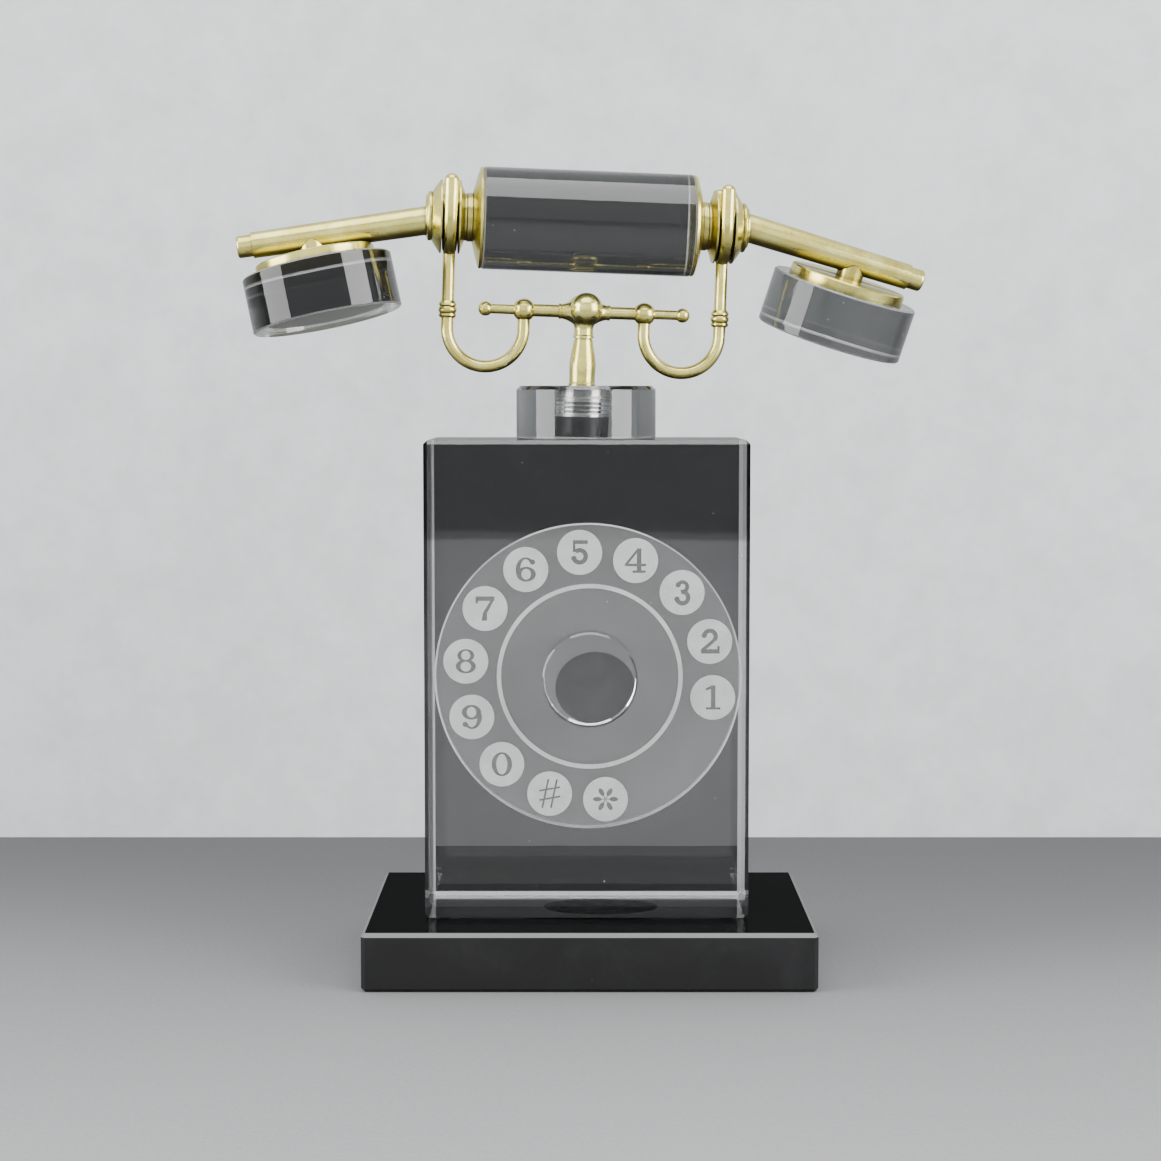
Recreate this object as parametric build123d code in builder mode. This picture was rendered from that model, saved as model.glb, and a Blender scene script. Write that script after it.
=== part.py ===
"""Crystal desk ornament in the shape of an upright telephone with its handset on a two-armed cradle.

Millimetres. The origin is the centre of the plinth's underside, +Z is up, the dial faces -Y and +X is
to the right. The cradle and the handset stand on the leaning axis of the stem.
"""

import os
from math import cos, radians, sin

from build123d import *

# Plinth
PLINTH_WIDTH = 115.0
PLINTH_DEPTH = 80.0
PLINTH_HEIGHT = 15.0
PLINTH_CHAMFER = 1.0

# Block, and the round dab of adhesive that holds it to the plinth
BLOCK_WIDTH = 83.3
BLOCK_DEPTH = 46.0
BLOCK_HEIGHT = 123.0
BLOCK_CHAMFER = 1.0
BLOCK_X = -0.7
BOND_RADIUS = 15.0
BOND_THICKNESS = 0.2
BOND_X = 3.0
WETTING = 0.05
GLUE_LINE = 0.05

# Dial: a glass disc with printed spots and ring, and a glass knob
DIAL_X = -0.4
DIAL_Z = 78.4
DIAL_RADIUS = 39.0
DIAL_THICKNESS = 4.0
DIAL_CHAMFER = 0.4
PRINT_OFFSET = 0.45
PRINT_THICKNESS = 0.12
SPOT_RADIUS = 5.7
SPOT_CIRCLE = 31.7
SPOT_START = -9.7
SPOT_STEP = 26.09
RING_RADIUS = 23.6
RING_WIDTH = 1.1
KNOB_RADIUS = 12.0
KNOB_HEIGHT = 8.0
KNOB_CHAMFER = 0.5
KNOB_BOND_RADII = (10.1, 9.2)
KNOB_BOND_OFFSET = (1.4, -2.6)
KNOB_BOND_THICKNESS = 0.1

# Numerals, drawn about the middle of their spot
NUMERAL_HALF = 3.1
THICK_STROKE = 1.15
THIN_STROKE = 0.6
TERMINAL = 0.68

# Collar on top of the block, and the bush that holds the stem in it
COLLAR_RADIUS = 18.3
COLLAR_HEIGHT = 13.8
COLLAR_CHAMFER = 1.0
COLLAR_FOOT = 0.3
COLLAR_X = -0.85
BUSH_SHIFT = 0.7
BUSH_RADIUS = 4.65
BUSH_HEIGHT = 8.0
BUSH_GROOVE = 0.35
BUSH_PITCH = 1.1
BUSH_GROOVES_BELOW = 5.6
BUSH_BOND_DEPTH = 5.2

# Stem axis: where it leaves the collar, its lean to the right, and how far the cradle is turned on it
STEM_X = -1.95
LEAN = 1.9
CRADLE_YAW = 4.5
STEM_HEIGHT = 12.4
SPIGOT_RADIUS = 2.4
SPIGOT_DEPTH = 6.0
STEM_FOOT = ((3.5, 0), (3.5, 0.5), (3.35, 0.9))
STEM_VASE = ((3.35, 2.4), (3.42, 5.6), (3.05, 8.5), (2.6, 10.8), (2.45, 12.0))
STEM_TOP_RADIUS = 2.2
PIVOT_RADIUS = 1.5
PIVOT_HEIGHT = 3.4

# Fits
CLEARANCE = 0.02
RUNNING = 0.05
PLAY = 0.1

# Cradle
HUB_Z = 19.3
HUB_RADIUS = 3.9
HUB_MOUTH = ((2.7, STEM_HEIGHT + PLAY), (2.7, 13.0), (2.5, 13.3))
HUB_WAIST = (2.45, 14.6)
HUB_FLARE = (3.7, 17.0)
HUB_MIDDLE = 17.6
TRUMPET_LIP = ((2.05, 6.2), (1.9, 6.0))
TRUMPET_BELL = ((2.35, 4.4), (3.4, 2.6))
TRUMPET_ROOT = ((2.6, 1.2), (0, 0.8))
FINIAL_SEAT_RADIUS = 3.2
SOCKET_END = 6.7
SOCKET_RADIUS = 2.05
SOCKET_DEPTH = 2.0
FINIAL_RISE = 0.6
FINIAL_RADIUS = 4.2
FINIAL_SEAT = 4.0
HUB_STUD_RADIUS = 1.0
ROD_RADIUS = 1.65
BALL_X = 15.8
BALL_RADIUS = 3.0
BALL_SOCKET = 1.0
STUB_RADIUS = 1.25
STUB_END = 27.8
STUB_BALL_RADIUS = 1.9
WIRE_RADIUS = 1.6
POST_X = 35.8
HOOK_BEND_Z = 14.2
FERRULE_BOTTOM = 16.6
FERRULE_TOP = 21.0
FERRULE_SOCKET = 1.4
FERRULE_FOOT = ((1.9, FERRULE_BOTTOM), (2.3, 17.1), (2.3, 17.6), (1.95, 17.8))
FERRULE_BEAD = ((2.4, 18.7), (1.95, 19.6))
FERRULE_HEAD = ((2.3, 19.8), (2.3, 20.2), (1.85, FERRULE_TOP), (0, FERRULE_TOP))
FORK_WIRE = 1.9
FORK_BEND_RADIUS = 8.45
FORK_BEND_Z = 43.1
FORK_TOP = 53.2

# Handset, measured outward from the middle of the barrel
BARREL_RADIUS = 13.25
BARREL_HALF = 27.4
BARREL_CHAMFER = 0.4
CAP_END = 29.9
CAP_RIM = ((13.2, 27.75), (13.0, 28.2))
CAP_DISH = ((10.4, 29.0), (6.9, CAP_END))
WASHER_END = 31.5
WASHER_RADIUS = 6.3
WASHER_CHAMFER = 0.2
HANDSET_STUD_RADIUS = 2.0
FLANGE_RADIUS = 9.5
GROOVE_RADIUS = 5.9
GROOVE_HALF = 2.2
FLANGE_EDGE = 0.4
REST_GAP = 0.3
NECK_END = 42.2
NECK_FOOT = (6.1, WASHER_END + 0.5)
NECK_FLARE = (7.3, 32.5)
NECK_BELL = ((7.9, 39.5), (6.2, 40.6))
NECK_BEAD = ((6.4, 41.1), (5.8, 41.7))
NECK_FACE = ((5.3, 41.9), (5.15, NECK_END), (0, NECK_END))

# Arms and cups, measured along the arm from its root on the barrel's axis
ARM_ROOT = 41.0
ARM_RADIUS = 3.7
ARM_TIP_RADIUS = 3.35
ARM_WALL = 0.9
ARM_LENGTH = 46.4
PLUG_RADIUS = 2.85
PLUG_LENGTH = 4.0
PLUG_SPIGOT = 3.0
PLUG_ROUNDING = ((0.25, 0.2), (0.9, 0))
PLUG_SHOULDER = 0.8
CUP_STATION = 31.35
BOSS_RADIUS = 3.6
BOSS_PIN_GAP = 0.5
PLATE_DROP = 4.75
PLATE_CROWN = 5.0
PLATE_FALL = 0.2
PLATE_EDGE = 0.3
CUP_DROP = 7.65
PLATE_RADIUS = 15.5
CUP_RADIUS = 19.5
CUP_HEIGHT = 14.4
CUP_CHAMFER = 0.4

# Each arm: its side, its droop below the barrel's axis, its twist about that axis, its start below it,
# and how far its cup leans out of square with it
ARMS = {"earpiece": (-1, 10.4, -5.2, 1.1, -3.2), "mouthpiece": (1, 14.6, 10.3, -0.4, 0.0)}
SIDES = {"left": -1, "right": 1}

BLOCK_BOTTOM = PLINTH_HEIGHT + BOND_THICKNESS
BLOCK_TOP = BLOCK_BOTTOM + BLOCK_HEIGHT
COLLAR_BOTTOM = BLOCK_TOP + GLUE_LINE
COLLAR_TOP = COLLAR_BOTTOM + COLLAR_HEIGHT
DISC_BACK = -BLOCK_DEPTH / 2 - GLUE_LINE
DISC_FRONT = DISC_BACK - DIAL_THICKNESS
HANDSET_Z = FORK_BEND_Z - FORK_BEND_RADIUS + FORK_WIRE + GROOVE_RADIUS + REST_GAP


def placed(frame, local):
    """A plane given in a frame, as a plane in space."""
    return Plane(frame.location * local.location)


def lathe(frame):
    """Sketch plane of a turned piece: x is its radius and y runs along the frame's z axis."""
    return placed(frame, Plane.XZ)


def turning_axis(plane):
    """The axis that a sketch on a lathe plane turns about."""
    return Axis(plane.origin, plane.y_dir)


def save(piece, label):
    """Label a finished piece and write its STEP file."""
    piece.part.label = label
    export_step(piece.part, f"parts/{label}.step")


def facing(x, y, z):
    """A plane that faces the front, with x to the right and y up."""
    return Plane(origin=(x, y, z), x_dir=(1, 0, 0), z_dir=(0, -1, 0))


CRADLE = Plane(Location((STEM_X, 0, COLLAR_TOP), (0, LEAN, CRADLE_YAW)))
BUSH = placed(CRADLE, Plane(origin=(BUSH_SHIFT, 0, 0)))
HANDSET = placed(CRADLE, Plane.XY.offset(HANDSET_Z))


def outward(side, z):
    """A frame on the cradle whose z axis points away from the stem along the cradle's arms."""
    return placed(CRADLE, Plane(origin=(0, 0, z), x_dir=(0, 0, 1), z_dir=(side, 0, 0)))


def barrel_end(side):
    """A frame at the middle of the barrel whose z axis points out of one end."""
    return placed(HANDSET, Plane(origin=(0, 0, 0), x_dir=(0, 0, 1), z_dir=(side, 0, 0)))


def arm_frame(side, droop, twist, drop):
    """A frame at an arm's root: z runs along the arm and x points down to its cup."""
    turned = Plane(HANDSET.location * Location((0, 0, 0), (twist, 0, 0)))
    along = (side * cos(radians(droop)), 0, -sin(radians(droop)))
    down = (-side * sin(radians(droop)), 0, -cos(radians(droop)))
    return placed(turned, Plane(origin=(side * ARM_ROOT, 0, -drop), x_dir=down, z_dir=along))


def cup_frame(arm, lean):
    """A frame on the arm above its cup: z points down through the cup."""
    down = (cos(radians(lean)), 0, sin(radians(lean)))
    outward = (-sin(radians(lean)), 0, cos(radians(lean)))
    return placed(arm, Plane(origin=(0, 0, CUP_STATION), x_dir=outward, z_dir=down))


# Plinth, block and collar


def make_plinth():
    with BuildPart() as plinth:
        with BuildSketch(Plane.XY):
            Rectangle(PLINTH_WIDTH, PLINTH_DEPTH)
        extrude(amount=PLINTH_HEIGHT)
        chamfer(plinth.edges(), length=PLINTH_CHAMFER)
    save(plinth, "plinth")


def make_block_bond():
    with BuildPart() as block_bond:
        with BuildSketch(Plane.XY.offset(PLINTH_HEIGHT)):
            with Locations((BOND_X, 0)):
                Circle(BOND_RADIUS)
        extrude(amount=BOND_THICKNESS + WETTING)
    save(block_bond, "block_bond")


def make_body_block():
    with BuildPart() as body_block:
        with BuildSketch(Plane.XY.offset(BLOCK_BOTTOM)):
            with Locations((BLOCK_X, 0)):
                Rectangle(BLOCK_WIDTH, BLOCK_DEPTH)
        extrude(amount=BLOCK_HEIGHT)
        chamfer(body_block.edges(), length=BLOCK_CHAMFER)
    save(body_block, "body_block")


def make_collar():
    with BuildPart() as collar:
        with BuildSketch(Plane.XY.offset(COLLAR_BOTTOM)):
            with Locations((COLLAR_X, 0)):
                Circle(COLLAR_RADIUS)
        extrude(amount=COLLAR_HEIGHT)
        chamfer(collar.edges().group_by(Axis.Z)[-1], length=COLLAR_CHAMFER)
        chamfer(collar.edges().group_by(Axis.Z)[0], length=COLLAR_FOOT)
        with BuildSketch(BUSH.offset(-BUSH_HEIGHT - BUSH_BOND_DEPTH)):
            Circle(BUSH_RADIUS - WETTING)
        extrude(amount=BUSH_HEIGHT + BUSH_BOND_DEPTH + COLLAR_CHAMFER, mode=Mode.SUBTRACT)
    save(collar, "collar")


def make_bush_bond():
    """Dark adhesive that fills the collar's hole below the bush."""
    with BuildPart() as bush_bond:
        with BuildSketch(BUSH.offset(-BUSH_HEIGHT)):
            Circle(BUSH_RADIUS)
        extrude(amount=-BUSH_BOND_DEPTH - WETTING)
    save(bush_bond, "bush_bond")


def make_stem_bush():
    """Threaded bush: a few rounded grooves below its head, and a plain bore off its middle for the stem's spigot."""
    plane = lathe(BUSH)
    with BuildPart() as stem_bush:
        with BuildSketch(plane):
            with Locations((0, -BUSH_HEIGHT)):
                Rectangle(BUSH_RADIUS, BUSH_HEIGHT, align=(Align.MIN, Align.MIN))
            with GridLocations(0, BUSH_PITCH, 1, 3):
                with Locations((BUSH_RADIUS, -BUSH_GROOVES_BELOW)):
                    Circle(BUSH_GROOVE, mode=Mode.SUBTRACT)
        revolve(axis=turning_axis(plane))
        with BuildSketch(CRADLE):
            Circle(SPIGOT_RADIUS + CLEARANCE)
        extrude(amount=-SPIGOT_DEPTH, mode=Mode.SUBTRACT)
    save(stem_bush, "stem_bush")


def make_stem():
    """Vase-shaped stem with a spigot below, and above it the pivot that the hub turns on."""
    plane = lathe(CRADLE)
    with BuildPart() as stem:
        with BuildSketch(plane):
            with BuildLine():
                base = Polyline((0, -SPIGOT_DEPTH), (SPIGOT_RADIUS, -SPIGOT_DEPTH), (SPIGOT_RADIUS, 0))
                foot = Polyline(base @ 1, *STEM_FOOT)
                vase = Spline(foot @ 1, *STEM_VASE)
                groove = Polyline(vase @ 1, (STEM_TOP_RADIUS, STEM_VASE[-1][1]), (STEM_TOP_RADIUS, STEM_HEIGHT))
                shoulder = Line(groove @ 1, (PIVOT_RADIUS, STEM_HEIGHT))
                pivot = Line(shoulder @ 1, (PIVOT_RADIUS, STEM_HEIGHT + PIVOT_HEIGHT))
                Polyline(pivot @ 1, (0, STEM_HEIGHT + PIVOT_HEIGHT), (0, -SPIGOT_DEPTH))
            make_face()
        revolve(axis=turning_axis(plane))
    save(stem, "stem")


# Dial


def make_dial_disc():
    with BuildPart() as dial_disc:
        with BuildSketch(facing(DIAL_X, DISC_BACK, DIAL_Z)):
            Circle(DIAL_RADIUS)
        extrude(amount=DIAL_THICKNESS)
        chamfer(dial_disc.edges(), length=DIAL_CHAMFER)
    save(dial_disc, "dial_disc")


def print_plane():
    """The disc's front face, centred on the printed dial."""
    return facing(DIAL_X + PRINT_OFFSET, DISC_FRONT, DIAL_Z)


def make_dial_ring():
    with BuildPart() as dial_ring:
        with BuildSketch(print_plane()):
            Circle(RING_RADIUS)
            Circle(RING_RADIUS - RING_WIDTH, mode=Mode.SUBTRACT)
        extrude(amount=PRINT_THICKNESS)
    save(dial_ring, "dial_ring")


def numeral_0():
    with BuildSketch() as glyph:
        Ellipse(2.6, NUMERAL_HALF)
        Ellipse(1.4, NUMERAL_HALF - 0.5, mode=Mode.SUBTRACT)
    return glyph.sketch


def numeral_1():
    with BuildSketch() as glyph:
        with Locations((0.1, 0)):
            Rectangle(THICK_STROKE, 2 * NUMERAL_HALF)
        with Locations((0.1, THIN_STROKE / 2 - NUMERAL_HALF)):
            Rectangle(3.7, THIN_STROKE)
        with BuildLine():
            Polyline((-0.2, 3.1), (-1.8, 2.3), (-1.8, 1.8), (-0.2, 2.2), close=True)
        make_face()
    return glyph.sketch


def numeral_2():
    with BuildSketch() as glyph:
        with BuildLine():
            bowl = CenterArc((0.05, 1.3), 1.45, -40, 210)
        trace(line_width=THICK_STROKE)
        with BuildLine():
            Line(bowl @ 0, (-1.9, -2.3))
        trace(line_width=1.5 * THIN_STROKE)
        with Locations((0.1, THICK_STROKE / 2 - NUMERAL_HALF)):
            Rectangle(4.6, THICK_STROKE)
        with Locations((2.25, -2.1)):
            Rectangle(THIN_STROKE, 1.9)
        with Locations(bowl @ 1):
            Circle(TERMINAL)
    return glyph.sketch


def numeral_3():
    with BuildSketch() as glyph:
        with BuildLine():
            upper = CenterArc((0.1, 1.45), 1.2, -95, 250)
        trace(line_width=0.85 * THICK_STROKE)
        with BuildLine():
            lower = CenterArc((0.1, -1.3), 1.45, -165, 270)
        trace(line_width=THICK_STROKE)
        with Locations(upper @ 1, lower @ 0):
            Circle(TERMINAL)
    return glyph.sketch


def numeral_4():
    with BuildSketch() as glyph:
        with Locations((0.9, 0)):
            Rectangle(THICK_STROKE, 2 * NUMERAL_HALF)
        with Locations((0.9, THIN_STROKE / 2 - NUMERAL_HALF)):
            Rectangle(3.3, THIN_STROKE)
        with Locations((0, -1.1)):
            Rectangle(5.4, 1.1 * THIN_STROKE)
        with BuildLine():
            Line((-2.5, -1.1), (0.75, 2.95))
        trace(line_width=THIN_STROKE)
    return glyph.sketch


def numeral_5():
    with BuildSketch() as glyph:
        with Locations((0.2, 2.6)):
            Rectangle(3.7, 0.85 * THICK_STROKE)
        with Locations((-1.4, 1.5)):
            Rectangle(THIN_STROKE, 2.8)
        with BuildLine():
            bowl = CenterArc((0, -1.0), 1.55, -160, 295)
        trace(line_width=THICK_STROKE)
        with Locations(bowl @ 0):
            Circle(TERMINAL)
    return glyph.sketch


def numeral_6():
    with BuildSketch() as glyph:
        Ellipse(2.55, NUMERAL_HALF)
        Ellipse(1.4, NUMERAL_HALF - 0.5, mode=Mode.SUBTRACT)
        with Locations((2.5, 0)):
            Rectangle(3.0, 4.0, mode=Mode.SUBTRACT)
        with Locations((1.7, 1.9)):
            Circle(TERMINAL)
        with Locations((0.1, -1.2)):
            Ellipse(2.45, 1.9)
            Ellipse(1.2, 1.35, mode=Mode.SUBTRACT)
    return glyph.sketch


def numeral_7():
    with BuildSketch() as glyph:
        with Locations((0, 2.5)):
            Rectangle(4.8, THICK_STROKE)
        with Locations((-2.1, 2.2)):
            Rectangle(THIN_STROKE, 1.8)
        with BuildLine():
            Polyline((1.6, 2.4), (2.4, 2.4), (0.5, -1.2), (0.5, -3.1), (-0.9, -3.1), (-0.5, -1.0), close=True)
        make_face()
    return glyph.sketch


def numeral_8():
    with BuildSketch() as glyph:
        with Locations((0, 1.45)):
            Ellipse(2.15, 1.65)
        with Locations((0, -1.3)):
            Ellipse(2.55, 1.8)
        with Locations((0, 1.5)):
            Ellipse(1.15, 1.15, mode=Mode.SUBTRACT)
        with Locations((0, -1.35)):
            Ellipse(1.35, 1.25, mode=Mode.SUBTRACT)
    return glyph.sketch


def numeral_9():
    return Rot(0, 0, 180) * numeral_6()


def hash_sign():
    with BuildSketch() as glyph:
        with Locations((-1.1, 0), (1.1, 0)):
            Rectangle(0.8 * THIN_STROKE, 7.6, rotation=-12)
        with Locations((0, -1.2), (0, 1.2)):
            Rectangle(5.4, 0.8 * THIN_STROKE, rotation=10)
    return glyph.sketch


def star_sign():
    with BuildSketch() as glyph:
        with PolarLocations(2.1, 6):
            Ellipse(1.1, 0.6)
        with PolarLocations(0.7, 6):
            Rectangle(1.2, 0.22)
    return glyph.sketch


def make_dial_spots():
    """Twelve frosted spots, counted anticlockwise from the right, with clear numerals left in them."""
    numerals = [
        numeral_1(),
        numeral_2(),
        numeral_3(),
        numeral_4(),
        numeral_5(),
        numeral_6(),
        numeral_7(),
        numeral_8(),
        numeral_9(),
        numeral_0(),
        hash_sign(),
        star_sign(),
    ]
    with BuildPart() as dial_spots:
        with BuildSketch(print_plane()):
            for index, numeral in enumerate(numerals):
                angle = radians(SPOT_START + index * SPOT_STEP)
                with Locations((SPOT_CIRCLE * cos(angle), SPOT_CIRCLE * sin(angle))):
                    Circle(SPOT_RADIUS)
                    add(numeral, mode=Mode.SUBTRACT)
        extrude(amount=PRINT_THICKNESS)
    save(dial_spots, "dial_spots")


def make_knob_bond():
    with BuildPart() as knob_bond:
        with BuildSketch(print_plane()):
            with Locations(KNOB_BOND_OFFSET):
                Ellipse(*KNOB_BOND_RADII)
            Circle(KNOB_RADIUS - KNOB_CHAMFER, mode=Mode.INTERSECT)
        extrude(amount=KNOB_BOND_THICKNESS + WETTING)
    save(knob_bond, "knob_bond")


def make_dial_knob():
    with BuildPart() as dial_knob:
        with BuildSketch(print_plane().offset(KNOB_BOND_THICKNESS)):
            Circle(KNOB_RADIUS)
        extrude(amount=KNOB_HEIGHT)
        chamfer(dial_knob.edges(), length=KNOB_CHAMFER)
    save(dial_knob, "dial_knob")


# Cradle


def make_hub():
    """Cross-shaped hub: a socket over the stem, one for each arm, and a seat for a ball at front and back."""
    upright = lathe(CRADLE)
    cross = facing(0, 0, HUB_Z)
    finial = facing(0, 0, HUB_Z + FINIAL_RISE)
    with BuildPart() as hub:
        with BuildSketch(upright):
            with BuildLine():
                mouth = Polyline((0, STEM_HEIGHT + PLAY), *HUB_MOUTH)
                neck = Line(mouth @ 1, HUB_WAIST)
                flare = TangentArc(neck @ 1, HUB_FLARE, tangent=neck % 1)
                Polyline(flare @ 1, (0, HUB_MIDDLE), (0, STEM_HEIGHT + PLAY))
            make_face()
        revolve(axis=turning_axis(upright))
        with Locations(placed(CRADLE, cross).location):
            Sphere(HUB_RADIUS)
        for side in SIDES.values():
            trumpet = lathe(outward(side, HUB_Z))
            with BuildSketch(trumpet):
                with BuildLine():
                    lip = Polyline((0, SOCKET_END), (SOCKET_RADIUS, SOCKET_END), *TRUMPET_LIP)
                    bell = ThreePointArc(lip @ 1, *TRUMPET_BELL)
                    Polyline(bell @ 1, *TRUMPET_ROOT, (0, SOCKET_END))
                make_face()
            revolve(axis=turning_axis(trumpet))
            with BuildSketch(outward(side, HUB_Z).offset(SOCKET_END)):
                Circle(ROD_RADIUS + CLEARANCE)
            extrude(amount=-SOCKET_DEPTH, mode=Mode.SUBTRACT)
        with BuildSketch(placed(CRADLE, finial)):
            Circle(FINIAL_SEAT_RADIUS)
        extrude(amount=FINIAL_SEAT, both=True)
        with BuildSketch(placed(CRADLE, finial)):
            Circle(HUB_STUD_RADIUS + CLEARANCE)
        extrude(amount=FINIAL_SEAT, both=True, mode=Mode.SUBTRACT)
        with BuildSketch(CRADLE.offset(STEM_HEIGHT)):
            Circle(PIVOT_RADIUS + RUNNING)
        extrude(amount=PIVOT_HEIGHT + PLAY, mode=Mode.SUBTRACT)
    save(hub, "hub")


def make_hub_stud():
    with BuildPart() as hub_stud:
        with BuildSketch(placed(CRADLE, facing(0, 0, HUB_Z + FINIAL_RISE))):
            Circle(HUB_STUD_RADIUS)
        extrude(amount=FINIAL_SEAT + FINIAL_RADIUS / 2, both=True)
    save(hub_stud, "hub_stud")


def make_finial(label, toward):
    """Ball nut on one end of the hub's stud: -1 is the front one, 1 the rear one."""
    seat = Plane(origin=(0, toward * FINIAL_SEAT, HUB_Z + FINIAL_RISE), x_dir=(1, 0, 0), z_dir=(0, toward, 0))
    frame = placed(CRADLE, seat)
    with BuildPart() as finial:
        with Locations(frame.offset(0.7 * FINIAL_RADIUS).location):
            Sphere(FINIAL_RADIUS)
        split(bisect_by=frame, keep=Keep.TOP)
        with BuildSketch(frame):
            Circle(HUB_STUD_RADIUS + CLEARANCE)
        extrude(amount=FINIAL_RADIUS / 2, mode=Mode.SUBTRACT)
    save(finial, label)


def make_arm_rod(name, side):
    start = SOCKET_END - SOCKET_DEPTH
    end = BALL_X - BALL_RADIUS + BALL_SOCKET
    with BuildPart() as arm_rod:
        with BuildSketch(outward(side, HUB_Z).offset(start)):
            Circle(ROD_RADIUS)
        extrude(amount=end - start)
    save(arm_rod, f"{name}_arm_rod")


def make_arm_ball(name, side):
    """Ball that joins the rod, the stub and the hook, with a shallow socket for each."""
    frame = outward(side, HUB_Z)
    below = placed(CRADLE, Plane(origin=(side * BALL_X, 0, HUB_Z), z_dir=(0, 0, -1)))
    with BuildPart() as arm_ball:
        with Locations(frame.offset(BALL_X).location):
            Sphere(BALL_RADIUS)
        with BuildSketch(frame.offset(BALL_X - BALL_RADIUS)):
            Circle(ROD_RADIUS + CLEARANCE)
        extrude(amount=BALL_SOCKET, mode=Mode.SUBTRACT)
        with BuildSketch(frame.offset(BALL_X + BALL_RADIUS)):
            Circle(STUB_RADIUS + CLEARANCE)
        extrude(amount=-BALL_SOCKET, mode=Mode.SUBTRACT)
        with BuildSketch(below.offset(BALL_RADIUS)):
            Circle(WIRE_RADIUS + CLEARANCE)
        extrude(amount=-BALL_SOCKET, mode=Mode.SUBTRACT)
    save(arm_ball, f"{name}_arm_ball")


def make_stub(name, side):
    """Thin stub that carries on from the ball and ends in a small ball."""
    frame = outward(side, HUB_Z)
    start = BALL_X + BALL_RADIUS - BALL_SOCKET
    ball = STUB_END - STUB_BALL_RADIUS
    with BuildPart() as stub:
        with BuildSketch(frame.offset(start)):
            Circle(STUB_RADIUS)
        extrude(amount=ball - start)
        with Locations(frame.offset(ball).location):
            Sphere(STUB_BALL_RADIUS)
    save(stub, f"{name}_stub")


def make_hook(name, side):
    """U-shaped wire from under the ball, down, around and up into the ferrule."""
    bend = (POST_X - BALL_X) / 2
    top = HUB_Z - BALL_RADIUS + BALL_SOCKET
    plane = placed(CRADLE, Plane.XZ)
    with BuildPart() as hook:
        with BuildLine(plane):
            inner = Line((side * BALL_X, top), (side * BALL_X, HOOK_BEND_Z))
            middle = (side * (BALL_X + bend), HOOK_BEND_Z - bend)
            turn = ThreePointArc(inner @ 1, middle, (side * POST_X, HOOK_BEND_Z))
            Line(turn @ 1, (side * POST_X, FERRULE_BOTTOM + FERRULE_SOCKET))
        with BuildSketch(placed(CRADLE, Plane(origin=(side * BALL_X, 0, top), z_dir=(0, 0, -1)))):
            Circle(WIRE_RADIUS)
        sweep()
    save(hook, f"{name}_hook")


def post_axis(side):
    """The cradle's frame moved out to a post."""
    return placed(CRADLE, Plane(origin=(side * POST_X, 0, 0)))


def make_ferrule(name, side):
    """Turned joint between hook and fork: a fat bead between two grooves and two thin rings."""
    plane = lathe(post_axis(side))
    with BuildPart() as ferrule:
        with BuildSketch(plane):
            with BuildLine():
                foot = Polyline((0, FERRULE_BOTTOM), *FERRULE_FOOT)
                bead = ThreePointArc(foot @ 1, *FERRULE_BEAD)
                Polyline(bead @ 1, *FERRULE_HEAD)
                Line((0, FERRULE_TOP), (0, FERRULE_BOTTOM))
            make_face()
        revolve(axis=turning_axis(plane))
        with BuildSketch(post_axis(side).offset(FERRULE_BOTTOM)):
            Circle(WIRE_RADIUS + CLEARANCE)
        extrude(amount=FERRULE_SOCKET, mode=Mode.SUBTRACT)
        with BuildSketch(post_axis(side).offset(FERRULE_TOP)):
            Circle(WIRE_RADIUS + CLEARANCE)
        extrude(amount=-FERRULE_SOCKET, mode=Mode.SUBTRACT)
    save(ferrule, f"{name}_ferrule")


def make_fork(name, side):
    """Post with an open U on top, across the handset, that the neck's groove drops into."""
    frame = post_axis(side)
    prong_end = FORK_TOP - FORK_WIRE
    start = FERRULE_TOP - FERRULE_SOCKET
    with BuildPart() as fork:
        with BuildLine(placed(frame, Plane.YZ)):
            front = Line((-FORK_BEND_RADIUS, prong_end), (-FORK_BEND_RADIUS, FORK_BEND_Z))
            turn = ThreePointArc(
                front @ 1,
                (0, FORK_BEND_Z - FORK_BEND_RADIUS),
                (FORK_BEND_RADIUS, FORK_BEND_Z),
            )
            Line(turn @ 1, (FORK_BEND_RADIUS, prong_end))
        with BuildSketch(placed(frame, Plane(origin=(0, -FORK_BEND_RADIUS, prong_end), z_dir=(0, 0, -1)))):
            Circle(FORK_WIRE)
        sweep()
        with BuildSketch(frame.offset(start)):
            Circle(WIRE_RADIUS)
        extrude(amount=FORK_BEND_Z - FORK_BEND_RADIUS - start)
        for y in (-FORK_BEND_RADIUS, FORK_BEND_RADIUS):
            with Locations(placed(frame, Plane(origin=(0, y, prong_end))).location):
                Sphere(FORK_WIRE)
    save(fork, f"{name}_fork")


# Handset


def make_barrel():
    frame = barrel_end(1)
    with BuildPart() as barrel:
        with BuildSketch(frame):
            Circle(BARREL_RADIUS)
        extrude(amount=BARREL_HALF, both=True)
        chamfer(barrel.edges().filter_by(GeomType.CIRCLE), length=BARREL_CHAMFER)
    save(barrel, "barrel")


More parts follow.
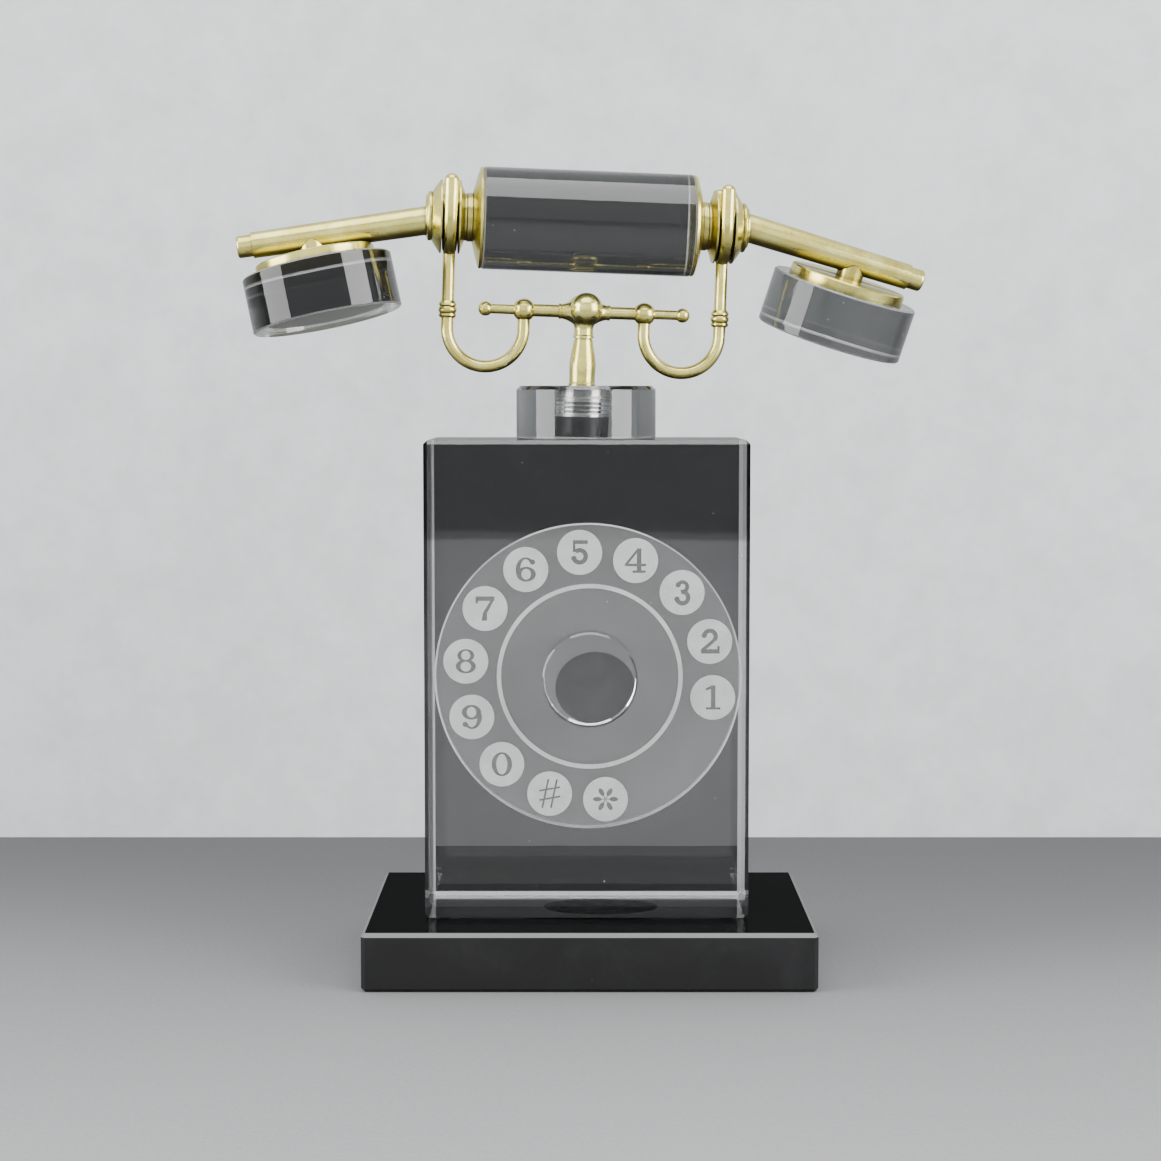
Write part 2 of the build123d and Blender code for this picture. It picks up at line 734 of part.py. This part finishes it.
def make_end_cap(name, side):
    """Dished brass cap cemented on the barrel's end, with a thin rim and a hollow cone."""
    frame = barrel_end(side)
    plane = lathe(frame)
    face = BARREL_HALF - WETTING
    with BuildPart() as end_cap:
        with BuildSketch(plane):
            with BuildLine():
                rim = Polyline((0, face), (BARREL_RADIUS - BARREL_CHAMFER, face), *CAP_RIM)
                cone = ThreePointArc(rim @ 1, *CAP_DISH)
                Polyline(cone @ 1, (0, CAP_END), (0, face))
            make_face()
        revolve(axis=turning_axis(plane))
        with BuildSketch(frame.offset(BARREL_HALF)):
            Circle(HANDSET_STUD_RADIUS + CLEARANCE)
        extrude(amount=CAP_END - BARREL_HALF, mode=Mode.SUBTRACT)
    save(end_cap, f"{name}_end_cap")


def make_washer(name, side):
    frame = barrel_end(side)
    with BuildPart() as washer:
        with BuildSketch(frame.offset(CAP_END)):
            Circle(WASHER_RADIUS)
            Circle(HANDSET_STUD_RADIUS + CLEARANCE, mode=Mode.SUBTRACT)
        extrude(amount=WASHER_END - CAP_END)
        chamfer(washer.edges().filter_by(GeomType.CIRCLE).group_by(SortBy.RADIUS)[-1], length=WASHER_CHAMFER)
    save(washer, f"{name}_washer")


def make_handset_stud(name, side):
    """Stud screwed into the cap, which the neck turns on."""
    with BuildPart() as handset_stud:
        with BuildSketch(barrel_end(side).offset(BARREL_HALF)):
            Circle(HANDSET_STUD_RADIUS)
        extrude(amount=POST_X - BARREL_HALF)
    save(handset_stud, f"{name}_handset_stud")


def make_neck(name, side, arm):
    """Turned neck: a flared flange, the groove that lies in the fork, and a bell that holds the arm."""
    frame = barrel_end(side)
    plane = lathe(frame)
    start = WASHER_END + PLAY
    inner = POST_X - GROOVE_HALF
    outer = POST_X + GROOVE_HALF
    with BuildPart() as neck:
        with BuildSketch(plane):
            with BuildLine():
                body = Polyline((0, start), (NECK_FOOT[0], start), NECK_FOOT)
                flare = ThreePointArc(body @ 1, NECK_FLARE, (FLANGE_RADIUS, inner - FLANGE_EDGE))
                flange = Polyline(flare @ 1, (FLANGE_RADIUS, inner), (GROOVE_RADIUS, inner))
                groove = Polyline(flange @ 1, (GROOVE_RADIUS, outer), (FLANGE_RADIUS, outer))
                rim = Line(groove @ 1, (FLANGE_RADIUS, outer + FLANGE_EDGE))
                bell = ThreePointArc(rim @ 1, *NECK_BELL)
                bead = ThreePointArc(bell @ 1, *NECK_BEAD)
                Polyline(bead @ 1, *NECK_FACE, (0, start))
            make_face()
        revolve(axis=turning_axis(plane))
        with BuildSketch(frame.offset(start)):
            Circle(HANDSET_STUD_RADIUS + RUNNING)
        extrude(amount=POST_X + PLAY - start, mode=Mode.SUBTRACT)
        with BuildSketch(arm):
            Circle(ARM_RADIUS + CLEARANCE)
        extrude(amount=PLUG_LENGTH, mode=Mode.SUBTRACT)
    save(neck, f"{name}_neck")


def make_arm(name, arm, cup):
    """Tapered tube from the neck to its plug, drilled below for the cup's boss."""
    plane = lathe(arm)
    with BuildPart() as tube:
        with BuildSketch(plane):
            with BuildLine():
                bore = Polyline((ARM_RADIUS - ARM_WALL, 0), (ARM_RADIUS, 0), (ARM_RADIUS, PLUG_LENGTH))
                end = Polyline(bore @ 1, (ARM_TIP_RADIUS, ARM_LENGTH), (ARM_TIP_RADIUS - ARM_WALL, ARM_LENGTH))
                Line(end @ 1, (ARM_RADIUS - ARM_WALL, 0))
            make_face()
        revolve(axis=turning_axis(plane))
        with BuildSketch(cup):
            Circle(HANDSET_STUD_RADIUS + CLEARANCE)
        extrude(amount=ARM_RADIUS + PLAY, mode=Mode.SUBTRACT)
    save(tube, f"{name}_arm")


def make_arm_plug(name, arm):
    plane = lathe(arm)
    spigot = ARM_TIP_RADIUS - ARM_WALL - CLEARANCE
    root = ARM_LENGTH - PLUG_SPIGOT
    tip = ARM_LENGTH + PLUG_LENGTH
    with BuildPart() as arm_plug:
        with BuildSketch(plane):
            with BuildLine():
                inside = Polyline((0, root), (spigot, root), (spigot, ARM_LENGTH))
                outside = Polyline(inside @ 1, (PLUG_RADIUS, ARM_LENGTH), (PLUG_RADIUS, tip - PLUG_SHOULDER))
                crown = ThreePointArc(outside @ 1, *[(PLUG_RADIUS - r, tip - z) for r, z in PLUG_ROUNDING])
                Polyline(crown @ 1, (0, tip), (0, root))
            make_face()
        revolve(axis=turning_axis(plane))
    save(arm_plug, f"{name}_arm_plug")


def make_boss(name, arm, cup):
    """Short post between arm and plate, hollowed to the tube, with a pin into each."""
    with BuildPart() as boss:
        with BuildSketch(cup):
            Circle(BOSS_RADIUS)
        extrude(amount=PLATE_DROP)
        with BuildSketch(arm):
            Circle(ARM_RADIUS + CLEARANCE)
        extrude(amount=ARM_LENGTH, mode=Mode.SUBTRACT)
        with BuildSketch(cup.offset(ARM_RADIUS / 2)):
            Circle(HANDSET_STUD_RADIUS)
        extrude(amount=CUP_DROP - BOSS_PIN_GAP - ARM_RADIUS / 2)
    save(boss, f"{name}_boss")


def make_plate(name, cup):
    """Brass disc on top of the cup: a shallow cone up to the boss, with a blind hole for its pin."""
    plane = lathe(cup)
    bottom = CUP_DROP + WETTING
    edge = PLATE_DROP + PLATE_FALL
    with BuildPart() as plate:
        with BuildSketch(plane):
            with BuildLine():
                crown = Polyline((0, PLATE_DROP), (PLATE_CROWN, PLATE_DROP), (PLATE_RADIUS - PLATE_EDGE, edge))
                rim = Polyline(crown @ 1, (PLATE_RADIUS, edge + PLATE_EDGE), (PLATE_RADIUS, bottom))
                Polyline(rim @ 1, (0, bottom), (0, PLATE_DROP))
            make_face()
        revolve(axis=turning_axis(plane))
        with BuildSketch(cup.offset(PLATE_DROP)):
            Circle(HANDSET_STUD_RADIUS + CLEARANCE)
        extrude(amount=CUP_DROP - BOSS_PIN_GAP - PLATE_DROP, mode=Mode.SUBTRACT)
    save(plate, f"{name}_plate")


def make_cup(name, cup):
    """Solid glass cup, cemented under its plate."""
    with BuildPart() as glass:
        with BuildSketch(cup.offset(CUP_DROP)):
            Circle(CUP_RADIUS)
        extrude(amount=CUP_HEIGHT)
        chamfer(glass.edges().filter_by(GeomType.CIRCLE), length=CUP_CHAMFER)
    save(glass, f"{name}_cup")


def main():
    os.makedirs("parts", exist_ok=True)
    make_plinth()
    make_block_bond()
    make_body_block()
    make_collar()
    make_bush_bond()
    make_stem_bush()
    make_stem()
    make_dial_disc()
    make_dial_ring()
    make_dial_spots()
    make_knob_bond()
    make_dial_knob()
    make_hub()
    make_hub_stud()
    make_finial("front_finial", -1)
    make_finial("rear_finial", 1)
    for name, side in SIDES.items():
        make_arm_rod(name, side)
        make_arm_ball(name, side)
        make_stub(name, side)
        make_hook(name, side)
        make_ferrule(name, side)
        make_fork(name, side)
    make_barrel()
    for name, (side, droop, twist, drop, lean) in ARMS.items():
        arm = arm_frame(side, droop, twist, drop)
        cup = cup_frame(arm, lean)
        make_end_cap(name, side)
        make_washer(name, side)
        make_handset_stud(name, side)
        make_neck(name, side, arm)
        make_arm(name, arm, cup)
        make_arm_plug(name, arm)
        make_boss(name, arm, cup)
        make_plate(name, cup)
        make_cup(name, cup)


main()
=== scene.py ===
"""Looks, light and camera for the novelty telephone.

It is a smoky glass desk ornament with antique brass fittings.
"""

import math

import bpy
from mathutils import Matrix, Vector


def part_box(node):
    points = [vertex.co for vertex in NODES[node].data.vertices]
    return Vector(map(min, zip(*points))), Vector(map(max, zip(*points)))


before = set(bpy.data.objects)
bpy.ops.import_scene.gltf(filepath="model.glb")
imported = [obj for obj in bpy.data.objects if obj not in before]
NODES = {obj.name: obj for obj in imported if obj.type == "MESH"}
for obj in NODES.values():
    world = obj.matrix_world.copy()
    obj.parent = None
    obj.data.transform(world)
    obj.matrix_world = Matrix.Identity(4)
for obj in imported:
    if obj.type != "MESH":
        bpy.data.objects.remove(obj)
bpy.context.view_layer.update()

# The joints' axes in the row frame, from the record.
BARREL_AXIS = (0.996369, 0.078459, -0.033053)
EARPIECE_AXIS = (0.209103, -0.069371, -0.975429)
MOUTHPIECE_AXIS = (-0.29629, 0.152718, -0.942809)

CHAMPAGNE = (0.83, 0.72, 0.2)
PALE_BRASS = (1.0, 0.93, 0.33)
PATINA_AND_SHADE = (0.07, 0.052, 0.016)
SMOKE = (0.105, 0.105, 0.107)
TOP_SHADE_COLOUR = (0.03, 0.03, 0.03)
WHITE = (1.0, 1.0, 1.0)
GLASS_IOR = 1.516

# Where the block's painted shade begins and ends: its dark top band by height, and on its front a dark strip
# along each side and one along the foot. Its chamfers are ground only behind a depth.
TOP_SHADE_HEIGHTS = (0.1143, 0.1157)
SIDE_SHADE_STRIP = (0.0400, 0.0402)
FOOT_SHADE_STRIP = (0.0199, 0.0203)
SHADE_STRIP_DEPTH = (-0.015, -0.01)
SHADE_STRIP_DARKNESS = 0.93
GROUND_DEPTH = (-0.004, 0.01)

# The collar is ground only this near its foot, and the disc's frosting thins towards the top of its rim.
COLLAR_GROUND = (0.001, 0.002)
DISC_MARGIN, DISC_TOP_SHARE = 0.02, 0.35

# The cosine between a chamfer and the axis it slopes to, how far from it still counts, and the cosines
# between which a surface becomes a flat end.
CHAMFER_SLOPE, CHAMFER_SPREAD = 0.65, 0.3
FLAT_END = (0.9, 0.95)
ACROSS, AHEAD, UP = (1.0, 0.0, 0.0), (0.0, 1.0, 0.0), (0.0, 0.0, 1.0)


class Shader:
    """A node material with one Principled shader, and short calls for the nodes that feed it."""

    def __init__(self, name):
        self.mat = bpy.data.materials.new(name)
        self.mat.use_nodes = True
        self.tree = self.mat.node_tree
        self.shader = self.tree.nodes["Principled BSDF"]
        self.coords = self.tree.nodes.new("ShaderNodeTexCoord")
        self.place = self.coords.outputs["Object"]

    def plain(self, **values):
        for name, value in values.items():
            socket = self.shader.inputs[name.replace("_", " ")]
            socket.default_value = (*value, 1.0) if isinstance(value, tuple) else value

    def feed(self, name, source):
        self.tree.links.new(source, self.shader.inputs[name])

    def put(self, socket, value):
        if isinstance(value, bpy.types.NodeSocket):
            self.tree.links.new(value, socket)
        elif isinstance(value, tuple) and socket.type == "RGBA":
            socket.default_value = (*value, 1.0)
        else:
            socket.default_value = value

    def maths(self, operation, a, b=0.0, c=0.0, clamp=False):
        node = self.tree.nodes.new("ShaderNodeMath")
        node.operation = operation
        node.use_clamp = clamp
        for socket, value in zip(node.inputs, (a, b, c)):
            self.put(socket, value)
        return node.outputs[0]

    def vectors(self, operation, a, b, out="Vector"):
        node = self.tree.nodes.new("ShaderNodeVectorMath")
        node.operation = operation
        self.put(node.inputs[0], a)
        self.put(node.inputs[1], b)
        return node.outputs[out]

    def along(self, vector, axis):
        """How far a vector goes along an axis."""
        return self.vectors("DOT_PRODUCT", vector, axis, "Value")

    def scaled(self, vector, amount):
        node = self.tree.nodes.new("ShaderNodeVectorMath")
        node.operation = "SCALE"
        self.put(node.inputs[0], vector)
        self.put(node.inputs["Scale"], amount)
        return node.outputs["Vector"]

    def stretched(self, scale):
        return self.vectors("MULTIPLY", self.place, scale)

    def noise(self, scale, detail=3.0, rough=0.5, vector=None, distortion=0.0):
        node = self.tree.nodes.new("ShaderNodeTexNoise")
        self.put(node.inputs["Vector"], vector or self.place)
        node.inputs["Scale"].default_value = scale
        node.inputs["Detail"].default_value = detail
        node.inputs["Roughness"].default_value = rough
        node.inputs["Distortion"].default_value = distortion
        return node.outputs["Fac"]

    def cells(self, scale):
        """The distance from the middle of the nearest cell."""
        node = self.tree.nodes.new("ShaderNodeTexVoronoi")
        self.put(node.inputs["Vector"], self.place)
        node.inputs["Scale"].default_value = scale
        return node.outputs["Distance"]

    def between(self, value, low, high, to_low=0.0, to_high=1.0):
        """to_low where the value is low, to_high where it is high, and a smooth step in between."""
        node = self.tree.nodes.new("ShaderNodeMapRange")
        node.interpolation_type = "SMOOTHSTEP"
        self.put(node.inputs["Value"], value)
        node.inputs["From Min"].default_value = low
        node.inputs["From Max"].default_value = high
        node.inputs["To Min"].default_value = to_low
        node.inputs["To Max"].default_value = to_high
        return node.outputs["Result"]

    def blend(self, share, a, b):
        """Colour a where share is 0 and b where it is 1."""
        node = self.tree.nodes.new("ShaderNodeMix")
        node.data_type = "RGBA"
        self.put(node.inputs["Factor"], share)
        self.put(node.inputs[6], a)
        self.put(node.inputs[7], b)
        return node.outputs[2]

    def bump(self, height, strength, distance):
        node = self.tree.nodes.new("ShaderNodeBump")
        node.inputs["Strength"].default_value = strength
        node.inputs["Distance"].default_value = distance
        self.put(node.inputs["Height"], height)
        self.feed("Normal", node.outputs["Normal"])

    def hidden_corner(self, reach):
        """1 in open places and less in grooves and where pieces meet."""
        node = self.tree.nodes.new("ShaderNodeAmbientOcclusion")
        node.samples = 8
        node.inputs["Distance"].default_value = reach
        return node.outputs["AO"]

    def specks(self, scale, size):
        """1 on scattered specks of dust."""
        near = self.between(self.cells(scale), 0.0, size, 1.0, 0.0)
        rare = self.between(self.noise(scale / 6), 0.55, 0.62)
        return self.maths("MULTIPLY", near, rare)

    def facing(self, axis):
        """The cosine between the surface and an axis."""
        return self.along(self.coords.outputs["Normal"], axis)

    def facing_either(self, axis):
        """The same cosine, with no difference between the axis's two ends."""
        return self.maths("ABSOLUTE", self.facing(axis))

    def sloping(self, cosine):
        """1 where a cosine is that of a chamfer, and 0 on flat faces and round sides."""
        return self.maths("COMPARE", cosine, CHAMFER_SLOPE, CHAMFER_SPREAD)

    def ground_edge(self, axes):
        """1 on the chamfers at both ends of the axes."""
        found = 0.0
        for axis in axes:
            found = self.maths("MAXIMUM", found, self.sloping(self.facing_either(axis)))
        return found


def crystal(node, axes, tint, front, milk=0.0, end_tint=None, frost=0.15):
    """Polished smoky glass with ground chamfers, faint smears and dust.

    front is how many times lighter the tint is on the front of the piece, and darker on its back. milk is the
    share of light that the glass scatters, and frost the share that its ground chamfers scatter. end_tint is
    the colour of a round piece's flat ends. On the block a painted shade darkens its top, and painted dark
    strips darken its front along its foot and its sides.
    """
    s = Shader(node + "_crystal")
    low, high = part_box(node)
    rise = s.along(s.place, UP)
    depth = s.along(s.place, AHEAD)
    quarter = (high[1] - low[1]) / 4
    turned = s.between(depth, low[1] + quarter, high[1] - quarter, 1.0, -1.0)
    shade = s.maths("POWER", front, turned)
    edge = s.ground_edge(axes)
    if node == "body_block":
        edge = s.maths("MULTIPLY", edge, s.between(depth, *GROUND_DEPTH))
        # Painted shade: dark strips on the block's front along each side and along the foot.
        aside = s.maths("ABSOLUTE", s.along(s.place, ACROSS))
        strip = s.maths("MAXIMUM", s.between(aside, *SIDE_SHADE_STRIP), s.between(rise, *FOOT_SHADE_STRIP, 1.0, 0.0))
        strip = s.maths("MULTIPLY", strip, s.between(depth, *SHADE_STRIP_DEPTH, SHADE_STRIP_DARKNESS, 0.0))
        shade = s.maths("MULTIPLY", shade, s.maths("SUBTRACT", 1.0, strip))
        # Painted shade: the block's top turns to the dark top colour above a wavy edge.
        wave = s.maths("MULTIPLY_ADD", s.noise(22.0, 2.0), 0.004, rise)
        tint = s.blend(s.between(wave, *TOP_SHADE_HEIGHTS), tint, TOP_SHADE_COLOUR)
    if node == "collar":
        foot = s.between(rise, low[2] + COLLAR_GROUND[0], low[2] + COLLAR_GROUND[1], 1.0, 0.0)
        edge = s.maths("MULTIPLY", edge, foot)
    if node == "dial_disc":
        lower = s.between(rise, low[2] + DISC_MARGIN, high[2] - DISC_MARGIN, 1.0, DISC_TOP_SHARE)
        edge = s.maths("MULTIPLY", edge, lower)
    colour = s.scaled(tint, shade)
    if end_tint:
        colour = s.blend(s.between(s.facing_either(axes[0]), *FLAT_END), colour, end_tint)
    dust = s.specks(420.0, 0.1)
    smear = s.between(s.noise(28.0, 4.0, 0.6, s.stretched((1.0, 1.0, 0.35)), 1.5), 0.45, 0.75)
    if milk:
        cloud = s.between(s.noise(35.0, 3.0), 0.3, 0.7, 0.0, 0.06)
        colour = s.blend(cloud, colour, (0.6, 0.6, 0.6))
    s.feed("Base Color", s.blend(edge, colour, WHITE))
    polish = s.maths("MULTIPLY_ADD", smear, 0.02, 0.004)
    s.feed("Roughness", s.maths("MAXIMUM", polish, s.maths("MULTIPLY", edge, 0.5)))
    cloudy = s.maths("MAXIMUM", dust, s.maths("MULTIPLY", edge, frost))
    clear = s.maths("MULTIPLY_ADD", cloudy, -1.0, 1.0)
    s.feed("Transmission Weight", s.maths("MULTIPLY", clear, 1.0 - milk))
    s.plain(IOR=GLASS_IOR)
    s.bump(s.noise(60.0, 2.0), 0.03, 0.0005)
    return s.mat


def black_glass():
    """Black glass that only has ground chamfers around its top."""
    s = Shader("black_glass")
    rising = s.facing(UP)
    edge = s.sloping(rising)
    dust = s.specks(300.0, 0.12)
    smear = s.between(s.noise(30.0, 5.0, 0.6, None, 1.0), 0.45, 0.8)
    side = s.blend(smear, (0.019, 0.019, 0.0195), (0.028, 0.028, 0.029))
    body = s.blend(s.between(rising, 0.9, 0.97), side, (0.002, 0.002, 0.002))
    light = s.maths("MAXIMUM", s.maths("MULTIPLY", dust, 0.3), edge)
    s.feed("Base Color", s.blend(light, body, (0.2, 0.2, 0.2)))
    gloss = s.maths("MULTIPLY_ADD", smear, 0.06, 0.02)
    s.feed("Roughness", s.maths("MAXIMUM", gloss, s.maths("MULTIPLY", edge, 0.4)))
    s.plain(IOR=1.4, Specular_IOR_Level=0.25)
    s.bump(s.noise(45.0, 2.0), 0.03, 0.0005)
    return s.mat


def antique_brass():
    """Pale worn brass with dark patina in its grooves, and painted shade on its undersides."""
    s = Shader("antique_brass")
    open_air = s.hidden_corner(0.003)
    worn = s.between(s.noise(130.0, 5.0, 0.62), 0.38, 0.66)
    grain = s.noise(900.0, 3.0, 0.6)
    mottled = s.noise(420.0, 4.0, 0.65)
    metal = s.blend(worn, CHAMPAGNE, PALE_BRASS)
    metal = s.blend(s.between(mottled, 0.56, 0.75, 0.0, 0.2), metal, PATINA_AND_SHADE)
    openness = s.maths("ADD", open_air, s.maths("MULTIPLY_ADD", mottled, 0.5, -0.25))
    # Painted shade: the undersides darken towards the patina colour.
    underside_shade = s.between(s.facing(UP), -0.85, -0.2, 0.9, 0.0)
    patina_and_shade = s.maths("MAXIMUM", s.between(openness, 0.3, 0.85, 0.95, 0.0), underside_shade)
    s.feed("Base Color", s.blend(patina_and_shade, metal, PATINA_AND_SHADE))
    shine = s.maths("MULTIPLY_ADD", mottled, 0.22, 0.13)
    s.feed("Roughness", s.maths("MAXIMUM", shine, s.maths("MULTIPLY", patina_and_shade, 0.5)))
    s.plain(Metallic=1.0)
    s.bump(s.maths("MULTIPLY_ADD", mottled, 0.6, grain), 0.12, 0.0002)
    return s.mat


def steel():
    """Turned metal with fine rings."""
    s = Shader("steel")
    rings = s.noise(500.0, 3.0, 0.5, s.stretched((0.2, 0.2, 2.5)))
    s.feed("Base Color", s.blend(rings, (0.5, 0.5, 0.5), (0.82, 0.82, 0.8)))
    s.feed("Roughness", s.between(rings, 0.3, 0.7, 0.18, 0.4))
    s.plain(Metallic=1.0)
    s.bump(rings, 0.15, 0.0002)
    return s.mat


def frosted_print():
    """A sandy, slightly patchy white frosting."""
    s = Shader("frosted_print")
    grain = s.noise(3200.0, 2.0, 0.7)
    patchy = s.noise(180.0, 3.0)
    share = s.maths("MULTIPLY_ADD", grain, 0.7, s.maths("MULTIPLY", patchy, 0.3))
    tone = s.blend(s.between(share, 0.35, 0.65), (0.46, 0.46, 0.46), (0.66, 0.66, 0.66))
    s.feed("Base Color", tone)
    s.feed("Roughness", s.between(grain, 0.3, 0.7, 0.55, 0.85))
    s.bump(grain, 0.3, 0.0001)
    return s.mat


def adhesive():
    """Dark swirled material of the bond pieces. Under the knob and the bush it gives the dark patches seen
    through the glass.
    """
    s = Shader("adhesive")
    swirl = s.noise(160.0, 3.0, 0.5, None, 2.5)
    tone = s.blend(s.between(swirl, 0.35, 0.7), (0.026, 0.026, 0.028), (0.036, 0.036, 0.038))
    s.feed("Base Color", tone)
    s.feed("Roughness", s.between(swirl, 0.3, 0.7, 0.3, 0.6))
    s.bump(swirl, 0.1, 0.0003)
    return s.mat


PRINT = frosted_print()
GLUE = adhesive()
GLASS_PIECES = {
    "body_block": dict(axes=(ACROSS, AHEAD, UP), tint=SMOKE, front=8.5),
    "dial_disc": dict(axes=(AHEAD,), tint=(0.72, 0.72, 0.72), front=1.0, milk=0.13, frost=0.6),
    "dial_knob": dict(axes=(), tint=(0.98, 0.98, 0.98), front=1.0, milk=0.03),
    "collar": dict(axes=(UP,), tint=(0.14, 0.14, 0.14), front=4.0),
    "barrel": dict(axes=(BARREL_AXIS,), tint=(0.035, 0.035, 0.035), front=12.0),
    "earpiece_cup": dict(
        axes=(EARPIECE_AXIS,), tint=(0.015, 0.015, 0.015), front=25.0, end_tint=(0.6, 0.6, 0.57)
    ),
    "mouthpiece_cup": dict(axes=(MOUTHPIECE_AXIS,), tint=(0.09, 0.092, 0.092), front=8.0),
}
LOOKS = {
    "plinth": black_glass(),
    "block_bond": GLUE,
    "knob_bond": GLUE,
    "bush_bond": GLUE,
    "dial_spots": PRINT,
    "dial_ring": PRINT,
    "stem_bush": steel(),
}
LOOKS.update({name: crystal(name, **look) for name, look in GLASS_PIECES.items()})
BRASS = antique_brass()
for name, node in NODES.items():
    node.data.materials.clear()
    node.data.materials.append(LOOKS.get(name, BRASS))


# The stage, in metres: where the wall stands, where the floor's painted shade towards the wall begins and
# ends, and the heights between which mirrored views of the wall get brighter.
WALL_Y = 0.176
FLOOR_FADE = (-0.25, WALL_Y)
WALL_FADE = (0.07, 0.22)


def stage_surface(name, colour, grain, glossy_share, far_colour=None, high_share=None):
    """A matt surface that mirror reflections see dimmer, as in a dark studio.

    glossy_share is how much of its tone a reflection sees, and high_share the same higher up. The surface
    turns to far_colour towards the wall, a painted shade.
    """
    s = Shader(name)
    # Painted shade: the floor darkens towards the wall.
    if far_colour:
        colour = s.blend(s.between(s.along(s.place, AHEAD), *FLOOR_FADE), colour, far_colour)
    fine = s.noise(grain, 4.0, 0.7)
    broad = s.noise(3.0, 2.0)
    share = s.maths("MULTIPLY_ADD", fine, 0.6, s.maths("MULTIPLY", broad, 0.4))
    tone = s.scaled(colour, s.between(share, 0.35, 0.65, 0.88, 1.02))
    path = s.tree.nodes.new("ShaderNodeLightPath")
    glossy, through = path.outputs["Is Glossy Ray"], path.outputs["Is Transmission Ray"]
    mirrored = s.maths("SUBTRACT", glossy, through, clamp=True)
    lost = 1.0 - glossy_share
    if high_share:
        lost = s.between(s.along(s.place, UP), *WALL_FADE, lost, 1.0 - high_share)
    kept = s.maths("SUBTRACT", 1.0, s.maths("MULTIPLY", mirrored, lost))
    s.feed("Base Color", s.scaled(tone, kept))
    s.plain(Roughness=0.9, Specular_IOR_Level=0.1)
    return s


def sheet(name, corners, shader):
    """A flat four-cornered part of the stage."""
    mesh = bpy.data.meshes.new(name)
    mesh.from_pydata(corners, [], [(0, 1, 2, 3)])
    thing = bpy.data.objects.new(name, mesh)
    bpy.context.collection.objects.link(thing)
    mesh.materials.append(shader.mat)


def see_through_from_behind(s):
    """Lets a look from behind the surface pass through it."""
    away = s.tree.nodes.new("ShaderNodeBsdfTransparent")
    side = s.tree.nodes.new("ShaderNodeNewGeometry")
    pick = s.tree.nodes.new("ShaderNodeMixShader")
    s.put(pick.inputs[0], side.outputs["Backfacing"])
    s.put(pick.inputs[1], s.shader.outputs[0])
    s.put(pick.inputs[2], away.outputs[0])
    s.put(s.tree.nodes["Material Output"].inputs["Surface"], pick.outputs[0])


REACH = 4.0
FORE = -12.0
# The floor's far colour is a painted shade towards the wall.
FLOOR_NEAR, FLOOR_FAR = (0.36, 0.36, 0.364), (0.13, 0.13, 0.133)
WALL_COLOUR = (0.8, 0.83, 0.84)
floor = stage_surface("floor_paint", FLOOR_NEAR, grain=900.0, glossy_share=1.0, far_colour=FLOOR_FAR)
sheet("floor", [(-REACH, FORE, 0), (REACH, FORE, 0), (REACH, REACH, 0), (-REACH, REACH, 0)], floor)
wall = stage_surface("wall_paint", WALL_COLOUR, grain=60.0, glossy_share=0.04, high_share=0.6)
see_through_from_behind(wall)
WALL_CORNERS = [(-REACH, WALL_Y, 0), (REACH, WALL_Y, 0), (REACH, WALL_Y, REACH), (-REACH, WALL_Y, REACH)]
sheet("wall", WALL_CORNERS, wall)


GLASS = bpy.data.collections.new("glass")
FITTINGS = bpy.data.collections.new("fittings")
for name, node in NODES.items():
    if name in GLASS_PIECES:
        GLASS.objects.link(node)
    elif name not in LOOKS:
        FITTINGS.objects.link(node)


MIDDLE = Vector((0.0, 0.0, 0.12))


def softbox(name, turn, height, distance, size, radiance, receivers=None):
    """A soft light that looks at the object, and lights only the receivers if there are any.

    turn is its angle in degrees, to the right of the camera's side.
    """
    lamp = bpy.data.lights.new(name, "AREA")
    lamp.shape = "RECTANGLE"
    lamp.size, lamp.size_y = size
    lamp.energy = radiance * math.pi * size[0] * size[1]
    thing = bpy.data.objects.new(name, lamp)
    bpy.context.collection.objects.link(thing)
    angle = math.radians(turn)
    place = Vector((distance * math.sin(angle), -distance * math.cos(angle), height))
    thing.location = place
    thing.rotation_euler = (MIDDLE - place).to_track_quat("-Z", "Y").to_euler()
    thing.visible_camera = False
    if receivers:
        thing.visible_diffuse = False
        thing.light_linking.receiver_collection = receivers


SIDE_SIZE = (0.7, 0.8)
softbox("left_box", -71, 0.35, 1.0, SIDE_SIZE, 7.5)
softbox("right_box", 61, 0.35, 1.0, SIDE_SIZE, 7.5)
softbox("top_box", 0, 1.2, 0.25, (1.2, 1.2), 3.0)
softbox("top_shine", 0, 1.15, 0.24, (1.15, 1.15), 4.0, GLASS)
softbox("right_shine", 61, 0.34, 0.97, SIDE_SIZE, 3.0, GLASS)
softbox("front_shine", -5, 0.4, 1.3, (1.8, 1.2), 0.8, FITTINGS)

SKY_COLOUR, SKY_STRENGTH = (0.66, 0.69, 0.70, 1.0), 0.85
world = bpy.data.worlds.new("studio")
bpy.context.scene.world = world
world.use_nodes = True
sky = world.node_tree.nodes["Background"]
sky.inputs["Color"].default_value = SKY_COLOUR
sky.inputs["Strength"].default_value = SKY_STRENGTH

SENSOR = 36.0
FOCAL_LENGTH_IN_WIDTHS = 2448 / 1161
CAMERA_PLACE = (-0.0023, -0.645, 0.1503)
CAMERA_DIP = 4.39
view = bpy.data.cameras.new("camera")
view.sensor_width = SENSOR
view.lens = SENSOR * FOCAL_LENGTH_IN_WIDTHS
camera = bpy.data.objects.new("camera", view)
bpy.context.collection.objects.link(camera)
camera.location = CAMERA_PLACE
camera.rotation_euler = (math.radians(90 - CAMERA_DIP), 0.0, 0.0)
bpy.context.scene.camera = camera
